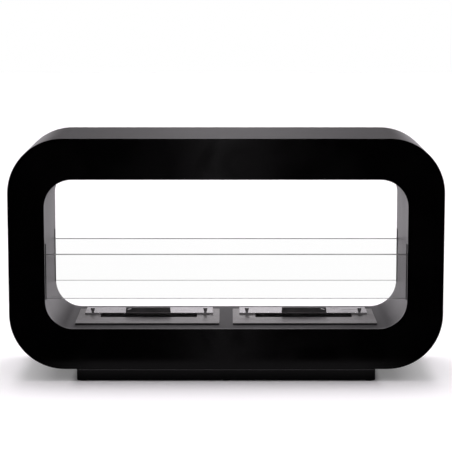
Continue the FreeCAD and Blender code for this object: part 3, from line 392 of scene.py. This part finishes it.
def lacquer_finish(finishes):
    """Gloss black lacquer: a faint orange peel, wiping marks in its gloss and a little dust on level faces.
    A painted highlight, a thin lighter line, runs along the fold at the top of the plinth."""
    material, tree, shader = new_material("lacquer_gloss_black", Specular_IOR_Level=finishes.lacquer_specular)
    grain = use_group(tree, "Coat grain", Speckle=160.0, Cloud=3.0)
    marks = use_group(tree, "Handling marks", Scale=5.0)
    dust = use_group(tree, "Settled dust", Amount=0.04)
    paint = mix_colours(tree, grain["Cloud"], tone(finishes.lacquer, 0.8), tone(finishes.lacquer, 1.2))
    height = add_node(tree, "ShaderNodeSeparateXYZ",
                      {0: add_node(tree, "ShaderNodeTexCoord").outputs["Object"]}).outputs["Z"]
    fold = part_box("plinth")[1].z
    # A painted highlight: mask of the thin lighter line just under the top of the plinth
    line = calculate(tree, "MULTIPLY", beyond(tree, height, 0.0, 1.0, fold, HIGHLIGHT_FOOT),
                     beyond(tree, height, 1.0, 0.0, fold, HIGHLIGHT_TOP))
    highlighted = mix_colours(tree, line, paint, tone(finishes.plinth_painted_highlight, 1.0))
    dusted = mix_colours(tree, dust["Dust"], highlighted, DUST)
    gloss = remap(tree, marks["Marks"], finishes.lacquer_roughness, finishes.lacquer_roughness + 0.08)
    feed(tree, shader, Base_Color=dusted, Roughness=gloss, Normal=bump(tree, grain["Speckle"], 0.00001))
    return material


def coat_finish(name, base, dust_amount, finishes):
    """Satin powder coat: a fine pebbled skin, slow clouds of tone and dust on level faces."""
    material, tree, shader = new_material(name, Specular_IOR_Level=finishes.coat_specular)
    grain = use_group(tree, "Coat grain", Speckle=1100.0, Cloud=2.5)
    dust = use_group(tree, "Settled dust", Amount=dust_amount)
    paint = mix_colours(tree, grain["Cloud"], tone(base, 0.95), tone(base, 1.05))
    fleck = mix_colours(tree, remap(tree, grain["Speckle"], 0.0, 0.35, 0.5, 0.75), paint, tone(base, 1.5))
    dusted = mix_colours(tree, dust["Dust"], fleck, DUST)
    gloss = remap(tree, grain["Cloud"], finishes.coat_roughness - 0.04, finishes.coat_roughness + 0.04)
    feed(tree, shader, Base_Color=dusted, Roughness=gloss, Normal=bump(tree, grain["Speckle"], 0.00012))
    return material


def brushed_finish(name, base, roughness, depth, anisotropy):
    """Brushed steel: hair lines along X in tone, gloss and relief, with soft bands and wiping marks."""
    material, tree, shader = new_material(name, Metallic=1.0, Anisotropic=anisotropy)
    brush = use_group(tree, "Brush lines")
    marks = use_group(tree, "Handling marks", Scale=11.0)
    steel = mix_colours(tree, brush["Lines"], tone(base, 0.9), tone(base, 1.1))
    banded = mix_colours(tree, calculate(tree, "MULTIPLY", brush["Bands"], 0.25), steel, tone(base, 0.7))
    gloss = calculate(tree, "ADD", remap(tree, brush["Lines"], roughness - 0.05, roughness + 0.05),
                      remap(tree, marks["Marks"], 0.0, 0.06))
    feed(tree, shader, Base_Color=banded, Roughness=gloss, Normal=bump(tree, brush["Lines"], depth))
    return material


def turned_finish(finishes):
    """Polished turned steel: fine rings over the height, from a wave along Z, and faint wiping marks."""
    material, tree, shader = new_material("knob_turned_steel", Metallic=1.0)
    place = add_node(tree, "ShaderNodeTexCoord").outputs["Object"]
    rings = add_node(tree, "ShaderNodeTexWave", {"Vector": place, "Scale": 420.0, "Distortion": 0.4},
                     bands_direction="Z").outputs["Fac"]
    marks = use_group(tree, "Handling marks", Scale=60.0)
    steel = mix_colours(tree, rings, tone(finishes.knob, 0.9), tone(finishes.knob, 1.05))
    gloss = remap(tree, marks["Marks"], 0.06, 0.14)
    feed(tree, shader, Base_Color=steel, Roughness=gloss, Normal=bump(tree, rings, 0.00002))
    return material


def satin_finish(name, base, roughness, speckle, depth):
    """Thin satin coat on small parts: speckled relief and clouded gloss."""
    material, tree, shader = new_material(name, Specular_IOR_Level=0.35)
    grain = use_group(tree, "Coat grain", Speckle=speckle, Cloud=30.0)
    dust = use_group(tree, "Settled dust", Amount=0.05)
    paint = mix_colours(tree, grain["Cloud"], tone(base, 0.85), tone(base, 1.2))
    dusted = mix_colours(tree, dust["Dust"], paint, SMALL_PART_DUST)
    gloss = remap(tree, grain["Cloud"], roughness - 0.06, roughness + 0.06)
    feed(tree, shader, Base_Color=dusted, Roughness=gloss, Normal=bump(tree, grain["Speckle"], depth))
    return material


def plated_finish(name, base, roughness, spangle):
    """Zinc on steel: cells of slightly different tone, as plating and galvanised sheet show."""
    material, tree, shader = new_material(name, Metallic=1.0)
    place = add_node(tree, "ShaderNodeTexCoord").outputs["Object"]
    cells = add_node(tree, "ShaderNodeTexVoronoi", {"Vector": place, "Scale": spangle}).outputs["Color"]
    cell = add_node(tree, "ShaderNodeSeparateXYZ", {0: cells}).outputs["X"]
    marks = use_group(tree, "Handling marks", Scale=18.0)
    metal = mix_colours(tree, cell, tone(base, 0.82), tone(base, 1.12))
    dulled = mix_colours(tree, marks["Marks"], metal, tone(base, 0.7))
    gloss = remap(tree, cell, roughness - 0.06, roughness + 0.08)
    feed(tree, shader, Base_Color=dulled, Roughness=gloss, Normal=bump(tree, cell, 0.00002))
    return material


def glass_finish(finishes):
    """Clear glass with ground edges: level faces, and a narrow band beside them, are grey and matt; the band is partly
    the ground arris and partly painted shade for the dark line along each edge.
    """
    material, tree, shader = new_material("pane_clear_glass", Transmission_Weight=1.0, IOR=finishes.glass_index)
    coordinates = add_node(tree, "ShaderNodeTexCoord").outputs
    low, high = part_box("front_glass")
    height = add_node(tree, "ShaderNodeSeparateXYZ", {0: coordinates["Object"]}).outputs["Z"]
    # The bands are partly the ground arris and partly painted shade, wider at the top than at the foot
    top = calculate(tree, "GREATER_THAN", height, high.z - finishes.top_arris_and_shade)
    foot = calculate(tree, "LESS_THAN", height, low.z + finishes.foot_arris_and_shade)
    band = calculate(tree, "MAXIMUM", top, foot)
    marks = use_group(tree, "Handling marks", Scale=9.0, Amount=0.012)
    tint = mix_colours(tree, band, tone(finishes.glass, 1.0), tone(finishes.glass_edge_and_shade, 1.0))
    gloss = calculate(tree, "MAXIMUM", marks["Marks"], calculate(tree, "MULTIPLY", band, 0.6))
    feed(tree, shader, Base_Color=tint, Roughness=gloss)
    return material


def wool_finish(finishes):
    """Felted mineral fibre: crossing stretched noises for the fibres, scorched where the clouds are dark."""
    material, tree, shader = new_material("wool_ceramic_felt", Specular_IOR_Level=0.1)
    place = add_node(tree, "ShaderNodeTexCoord").outputs["Object"]
    fibres = []
    for stretch in ((90.0, 900.0, 500.0), (700.0, 120.0, 500.0)):
        drawn = add_node(tree, "ShaderNodeVectorMath", {0: place, 1: stretch}, operation="MULTIPLY").outputs[0]
        fibres.append(noise(tree, drawn, 1.0, detail=3.0, distortion=0.8))
    felt = remap(tree, calculate(tree, "MAXIMUM", *fibres), 0.0, 1.0, 0.35, 0.75)
    grain = use_group(tree, "Coat grain", Speckle=500.0, Cloud=18.0)
    fibre = mix_colours(tree, felt, tone(finishes.wool, 0.72), tone(finishes.wool, 1.1))
    scorched = mix_colours(tree, remap(tree, grain["Cloud"], 0.0, 0.35, 0.5, 1.0), fibre, SCORCH)
    feed(tree, shader, Base_Color=scorched, Roughness=remap(tree, felt, 0.95, 0.8), Normal=bump(tree, felt, 0.0006))
    return material


def felted_block(low, high, rings, around, squareness, lump, lump_pitch):
    """A rounded block in a box. Ring angle a runs from foot to top and b runs around. A direction (cos a cos b,
    cos a sin b, sin a) is divided by its power norm, (|x|^p + |y|^p + |z|^p)^(1/p), which carries the sphere to a
    cube with rounded edges, and then stretched to the box. Crossing sine waves draw the surface in between lumps."""
    a = np.linspace(-np.pi / 2, np.pi / 2, rings + 1)[1:-1, None]
    b = np.linspace(0.0, 2 * np.pi, around, endpoint=False)[None, :]
    ball = np.stack([np.cos(a) * np.cos(b), np.cos(a) * np.sin(b), np.sin(a) + 0 * b], axis=-1).reshape(-1, 3)
    ball = np.vstack([ball, [[0.0, 0.0, -1.0], [0.0, 0.0, 1.0]]])
    cube = ball / (np.abs(ball) ** squareness).sum(axis=1, keepdims=True) ** (1.0 / squareness)
    half = (high - low) / 2
    points = cube * half
    turns = points * (2 * np.pi / lump_pitch)
    first_wave = np.sin(turns[:, 0] + SWAY * np.sin(SWAY_PACE * turns[:, 1]))
    waves = first_wave * np.sin(WAVE_ACROSS * turns[:, 1] + WAVE_UP * turns[:, 2])
    points -= ball * (lump * (0.5 + 0.5 * waves))[:, None]
    ring = np.arange((rings - 2) * around).reshape(rings - 2, around)
    after = np.roll(ring, -1, axis=1)
    above = ring + around
    quads = np.stack([ring, after, np.roll(above, -1, axis=1), above], axis=-1).reshape(-1, 4)
    first = np.arange(around)
    last = first + (rings - 2) * around
    foot = np.full(around, len(points) - 2)
    top = foot + 1
    fans = np.vstack([np.stack([np.roll(first, -1), first, foot], axis=-1),
                      np.stack([last, np.roll(last, -1), top], axis=-1)])
    return points + (low + high) / 2, quads.tolist() + fans.tolist()


class FIREPLACE_OT_coat_casing(bpy.types.Operator):
    """Gives the shell and the lining their satin powder coat"""

    bl_idname = "fireplace.coat_casing"
    bl_label = "Coat the casing"

    def execute(self, context):
        finishes = context.scene.fireplace_finishes
        dress("satin_anthracite", coat_finish("powder_coat_anthracite", finishes.coat, finishes.coat_dust, finishes))
        # The shell takes a darker copy of the lining's coat: painted shade
        shell = coat_finish("powder_coat_shell_shaded", finishes.shaded_shell_coat, finishes.shell_dust, finishes)
        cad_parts["outer_shell"].material_slots[0].material = shell
        return {"FINISHED"}


class FIREPLACE_OT_lacquer_fascias(bpy.types.Operator):
    """Gives both fascias and the plinth their gloss black lacquer"""

    bl_idname = "fireplace.lacquer_fascias"
    bl_label = "Lacquer the fascias"

    def execute(self, context):
        dress("gloss_black", lacquer_finish(context.scene.fireplace_finishes))
        return {"FINISHED"}


class FIREPLACE_OT_glaze_panes(bpy.types.Operator):
    """Finishes the two panes, their channels and their seals"""

    bl_idname = "fireplace.glaze_panes"
    bl_label = "Glaze the panes"

    def execute(self, context):
        finishes = context.scene.fireplace_finishes
        dress("clear_glass", glass_finish(finishes))
        dress("channel_black", satin_finish("channel_satin_black", finishes.channel, roughness=0.66, speckle=1300.0,
                                            depth=0.00008))
        dress("black_rubber", satin_finish("rubber_black", finishes.rubber, roughness=0.75, speckle=2200.0,
                                           depth=0.0001))
        return {"FINISHED"}


class FIREPLACE_OT_finish_burners(bpy.types.Operator):
    """Finishes the burner plates, tanks and grids"""

    bl_idname = "fireplace.finish_burners"
    bl_label = "Finish the burners"

    def execute(self, context):
        finishes = context.scene.fireplace_finishes
        dress("brushed_plate", brushed_finish("plate_brushed_steel", finishes.plate, finishes.plate_roughness,
                                              depth=0.00006, anisotropy=0.4))
        dress("tank_steel", brushed_finish("tank_dark_steel", finishes.tank, roughness=0.5, depth=0.00004,
                                           anisotropy=0.0))
        return {"FINISHED"}


class FIREPLACE_OT_finish_lids(bpy.types.Operator):
    """Finishes the sliding lids with their handles and knobs"""

    bl_idname = "fireplace.finish_lids"
    bl_label = "Finish the lids"

    def execute(self, context):
        finishes = context.scene.fireplace_finishes
        dress("polished_lid", brushed_finish("lid_polished_steel", finishes.lid, finishes.lid_roughness,
                                             depth=0.00001, anisotropy=0.2))
        dress("polished_knob", turned_finish(finishes))
        dress("handle_black", satin_finish("handle_satin_black", finishes.handle, roughness=0.38, speckle=1500.0,
                                           depth=0.00008))
        return {"FINISHED"}


class FIREPLACE_OT_finish_fixings(bpy.types.Operator):
    """Finishes the ribs, joists, wells, screws, nuts and posts"""

    bl_idname = "fireplace.finish_fixings"
    bl_label = "Finish the fixings"

    def execute(self, context):
        finishes = context.scene.fireplace_finishes
        dress("frame_steel", plated_finish("sheet_galvanised", finishes.sheet_steel, roughness=0.42, spangle=90.0))
        dress("zinc_fixings", plated_finish("fixings_zinc", finishes.zinc, roughness=0.3, spangle=600.0))
        return {"FINISHED"}


class FIREPLACE_OT_lay_wool(bpy.types.Operator):
    """Makes the felted packs of ceramic wool in the tanks"""

    bl_idname = "fireplace.lay_wool"
    bl_label = "Lay the wool"

    def execute(self, context):
        settings = context.scene.fireplace_wool
        felt = wool_finish(context.scene.fireplace_finishes)
        for side in SIDES:
            low, high = (np.array(corner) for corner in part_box(f"wool_pack_{side}"))
            points, faces = felted_block(low, high, settings.rings, settings.around, settings.squareness,
                                         settings.lump, settings.lump_pitch)
            mesh = bpy.data.meshes.new(f"wool_felt_{side}")
            mesh.from_pydata(points.tolist(), [], faces)
            mesh.polygons.foreach_set("use_smooth", np.ones(len(faces), dtype=bool))
            mesh.materials.append(felt)
            pack = bpy.data.objects.new(f"wool_felt_{side}", mesh)
            context.scene.collection.objects.link(pack)
            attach(pack, f"burner_{side}")
            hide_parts(f"wool_pack_{side}")
        return {"FINISHED"}


def seen_rays(tree):
    """1 on camera, glossy and transmission rays, which show the white background, and 0 on the rest."""
    rays = add_node(tree, "ShaderNodeLightPath").outputs
    shine = calculate(tree, "MAXIMUM", rays["Is Glossy Ray"], rays["Is Transmission Ray"])
    return calculate(tree, "MAXIMUM", rays["Is Camera Ray"], shine)


def mirrored_room(tree, studio):
    """What reflections see, by direction. Behind: a sweep at the horizon that darkens to the floor below, a bright
    band above it, a column of light in the middle and a soft box to each side. In front: a dark room with a tall
    strip light, stronger towards its head, and a soft box above."""
    heading = add_node(tree, "ShaderNodeSeparateXYZ", {0: add_node(tree, "ShaderNodeTexCoord").outputs["Generated"]})
    rise = heading.outputs["Z"]
    aside = calculate(tree, "ABSOLUTE", heading.outputs["X"], 0.0)
    head = remap(tree, rise, studio.upper_room, studio.upper_room * studio.high_room, *BAND_HEAD)
    band = calculate(tree, "MULTIPLY", head, remap(tree, rise, studio.low_room, 1.0, *BAND_FOOT))
    column = calculate(tree, "MULTIPLY", remap(tree, rise, studio.centre_foot, studio.centre_head, *COLUMN_RISE),
                       remap(tree, aside, 1.0, 0.0, *COLUMN_EDGE))
    boxes = calculate(tree, "MULTIPLY", remap(tree, aside, 0.0, studio.side_boxes, *BOX_START),
                      remap(tree, aside, 1.0, 0.0, *BOX_END))
    sweep = calculate(tree, "MULTIPLY", remap(tree, rise, studio.sweep, 0.0, *SWEEP_HEAD),
                      remap(tree, rise, studio.near_floor, 1.0, *SWEEP_FOOT))
    upper = calculate(tree, "MAXIMUM", calculate(tree, "ADD", band, column), boxes)
    behind = calculate(tree, "MULTIPLY", calculate(tree, "MAXIMUM", upper, sweep),
                       remap(tree, heading.outputs["Y"], studio.front_dark, 1.0, *TURN))
    strip = calculate(tree, "MULTIPLY", remap(tree, aside, studio.strip, 0.0, 0.0, studio.strip_width),
                      remap(tree, rise, studio.strip_foot, studio.strip_head, *STRIP_RISE))
    lights = calculate(tree, "MAXIMUM", strip, remap(tree, rise, 0.0, studio.front_box, *FRONT_BOX_RISE))
    front = calculate(tree, "MULTIPLY", lights, calculate(tree, "LESS_THAN", heading.outputs["Y"], 0.0))
    return calculate(tree, "MAXIMUM", behind, front)


def set_sky(scene, studio):
    """Even light from all round, a white background of strength 1 where it is seen, and the room in reflections,
    dimmer where panes lie on the way."""
    world = bpy.data.worlds.new("studio_sky")
    scene.world = world
    world.use_nodes = True
    tree = world.node_tree
    light = tree.nodes["Background"]
    light.inputs["Color"].default_value = (*studio.tint, 1.0)
    light.inputs["Strength"].default_value = studio.sky
    white = add_node(tree, "ShaderNodeBackground", {"Color": WHITE, "Strength": 1.0})
    rays = add_node(tree, "ShaderNodeLightPath").outputs
    mirrored = calculate(tree, "MULTIPLY", mirrored_room(tree, studio),
                         remap(tree, rays["Transmission Depth"], 1.0, studio.through_panes, 0.0, BOTH_PANES))
    room = add_node(tree, "ShaderNodeBackground", {"Color": (*studio.tint, 1.0), "Strength": mirrored})
    glossy = calculate(tree, "GREATER_THAN", rays["Glossy Depth"], 0.5)
    shown = add_node(tree, "ShaderNodeMixShader", {0: glossy, 1: white.outputs[0], 2: room.outputs[0]})
    mixed = add_node(tree, "ShaderNodeMixShader", {0: seen_rays(tree), 1: light.outputs[0], 2: shown.outputs[0]})
    tree.links.new(mixed.outputs[0], tree.nodes["World Output"].inputs["Surface"])


def floor_white(tree, across, along, foot, studio):
    """The white that the floor adds where it is seen. It fades out towards the plinth, front and rear, which paints a
    darker shadow there, and there is more of it beside the ends of the plinth, which is painted light that lightens
    the shadow there."""
    # Painted shadow: the white fades out towards the plinth
    lift = calculate(tree, "MAXIMUM", beyond(tree, across, 0.0, 1.0, foot.x, LIFT_ENDS),
                     beyond(tree, along, 0.0, 1.0, foot.y, (LIFT_FRONT, studio.floor_fade)))
    # Painted light: more white beside the ends of the plinth
    beside = calculate(tree, "MULTIPLY", beyond(tree, across, 0.0, studio.floor_ends, foot.x, BESIDE_RISE),
                       beyond(tree, along, 1.0, 0.0, foot.y, BESIDE_FRONT))
    kept = beyond(tree, across, 1.0, studio.floor_ends_kept, foot.x, BESIDE_FALL)
    white = calculate(tree, "ADD", calculate(tree, "MULTIPLY", lift, studio.floor_lift),
                      calculate(tree, "MULTIPLY", beside, kept))
    return calculate(tree, "MULTIPLY", seen_rays(tree), white)


def floor_in_reflections(tree, across, along, foot, studio):
    """A gleam near the plinth and, farther out, a clear floor that lets reflections see the room."""
    strength = calculate(tree, "MULTIPLY", beyond(tree, along, studio.gleam_foot, studio.gleam, foot.y, GLEAM_START),
                         beyond(tree, across, 1.0, 0.0, foot.x, GLEAM_SIDES))
    gleam = add_node(tree, "ShaderNodeEmission", {"Color": (*studio.tint, 1.0), "Strength": strength})
    clear = add_node(tree, "ShaderNodeBsdfTransparent")
    far = beyond(tree, along, 0.0, 1.0, foot.y, GLEAM_END)
    return add_node(tree, "ShaderNodeMixShader", {0: far, 1: gleam.outputs[0], 2: clear.outputs[0]}).outputs[0]


def floor_finish(studio):
    """Matt pale floor, whose white and gleam go by the distance from its middle, across and along."""
    material, tree, shader = new_material("floor_pale", Roughness=0.9, Specular_IOR_Level=0.0,
                                          Base_Color=(*studio.floor, 1.0), Emission_Color=WHITE)
    place = add_node(tree, "ShaderNodeSeparateXYZ", {0: add_node(tree, "ShaderNodeTexCoord").outputs["Object"]})
    across = calculate(tree, "ABSOLUTE", place.outputs["X"], 0.0)
    along = calculate(tree, "ABSOLUTE", place.outputs["Y"], 0.0)
    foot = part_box("plinth")[1]
    feed(tree, shader, Emission_Strength=floor_white(tree, across, along, foot, studio))
    mirrored = add_node(tree, "ShaderNodeLightPath").outputs["Is Glossy Ray"]
    shown = add_node(tree, "ShaderNodeMixShader", {0: mirrored, 1: shader.outputs[0],
                                                   2: floor_in_reflections(tree, across, along, foot, studio)})
    tree.links.new(shown.outputs[0], tree.nodes["Material Output"].inputs["Surface"])
    return material


def lay_floor(scene, studio):
    """A pale disc in polar steps, x = r cos t and y = r sin t, which takes the shadow and shows white where lit."""
    turn = np.linspace(0.0, 2 * np.pi, FLOOR_STEPS, endpoint=False)
    rim = np.stack([np.cos(turn), np.sin(turn), np.zeros_like(turn)], axis=-1) * studio.floor_reach
    mesh = bpy.data.meshes.new("studio_floor")
    mesh.from_pydata(rim.tolist(), [], [list(range(len(rim)))])
    mesh.materials.append(floor_finish(studio))
    ground = bpy.data.objects.new("studio_floor", mesh)
    scene.collection.objects.link(ground)
    ground.visible_transmission = False


def hang_lamp(scene, name, power, tint, side, place, aim):
    """A square soft lamp that looks from its place to its aim."""
    light = bpy.data.lights.new(name, "AREA")
    light.energy = power
    light.color = tint
    light.size = side
    lamp = bpy.data.objects.new(name, light)
    lamp.location = place
    direction = aim - lamp.location
    lamp.rotation_euler = direction.to_track_quat("-Z", "Y").to_euler()
    scene.collection.objects.link(lamp)


def shine_key(scene, studio):
    """The broad light from above, which lights the floor evenly and keeps shadows close."""
    light = bpy.data.lights.new("key_light", "SUN")
    light.energy = studio.key
    light.color = studio.tint
    light.angle = studio.key_angle
    lamp = bpy.data.objects.new("key_light", light)
    lamp.rotation_euler = (-studio.key_tilt, 0.0, 0.0)
    scene.collection.objects.link(lamp)


def stand_camera(scene, studio):
    """The camera in front of the fireplace, with the focal length and centre that its pixels give."""
    lens = bpy.data.cameras.new("front_camera")
    lens.sensor_width = SENSOR
    lens.lens = studio.focal_pixels * SENSOR / IMAGE_SIDE
    lens.shift_x = (IMAGE_SIDE / 2 - studio.centre_x) / IMAGE_SIDE
    lens.shift_y = (studio.centre_y - IMAGE_SIDE / 2) / IMAGE_SIDE
    camera = bpy.data.objects.new("front_camera", lens)
    camera.location = (0.0, -studio.camera_distance, studio.camera_height)
    camera.rotation_euler = (math.pi / 2 - studio.camera_tilt, 0.0, 0.0)
    scene.collection.objects.link(camera)
    scene.camera = camera


class FIREPLACE_OT_set_studio(bpy.types.Operator):
    """Sets up the floor, the soft light and the camera"""

    bl_idname = "fireplace.set_studio"
    bl_label = "Set up the studio"

    def execute(self, context):
        scene = context.scene
        studio = scene.fireplace_studio
        scene.view_settings.view_transform = "Standard"
        middle = (CAD_BOX[0] + CAD_BOX[1]) / 2
        set_sky(scene, studio)
        lay_floor(scene, studio)
        place = (0.0, studio.rear_lamp_distance, studio.rear_lamp_height)
        hang_lamp(scene, "rear_lamp", studio.rear_lamp, studio.tint, studio.rear_lamp_side, place, middle)
        shine_key(scene, studio)
        stand_camera(scene, studio)
        return {"FINISHED"}


OPERATORS = (
    FIREPLACE_OT_coat_casing,
    FIREPLACE_OT_lacquer_fascias,
    FIREPLACE_OT_glaze_panes,
    FIREPLACE_OT_finish_burners,
    FIREPLACE_OT_finish_lids,
    FIREPLACE_OT_finish_fixings,
    FIREPLACE_OT_lay_wool,
    FIREPLACE_OT_set_studio,
)


class VIEW3D_PT_fireplace(bpy.types.Panel):
    """The fireplace's settings and steps in the sidebar."""

    bl_label = "Fireplace"
    bl_space_type = "VIEW_3D"
    bl_region_type = "UI"
    bl_category = "Fireplace"

    def draw(self, context):
        for settings in SETTINGS:
            box = self.layout.box()
            group = getattr(context.scene, settings)
            for name in group.__annotations__:
                box.prop(group, name)
        for operator in OPERATORS:
            self.layout.operator(operator.bl_idname)


SETTINGS = {
    "fireplace_finishes": FireplaceFinishes,
    "fireplace_wool": FireplaceWool,
    "fireplace_studio": FireplaceStudio,
}


def register():
    """Registers the classes and adds the settings to the scene."""
    for group in (*SETTINGS.values(), *OPERATORS, VIEW3D_PT_fireplace):
        bpy.utils.register_class(group)
    for name, group in SETTINGS.items():
        setattr(bpy.types.Scene, name, PointerProperty(type=group))


def unregister():
    """Takes the settings and the classes away again."""
    for name in SETTINGS:
        delattr(bpy.types.Scene, name)
    for group in reversed((*SETTINGS.values(), *OPERATORS, VIEW3D_PT_fireplace)):
        bpy.utils.unregister_class(group)


def main():
    register()
    for operator in OPERATORS:
        area, name = operator.bl_idname.split(".")
        getattr(getattr(bpy.ops, area), name)()


if __name__ == "__main__":
    main()
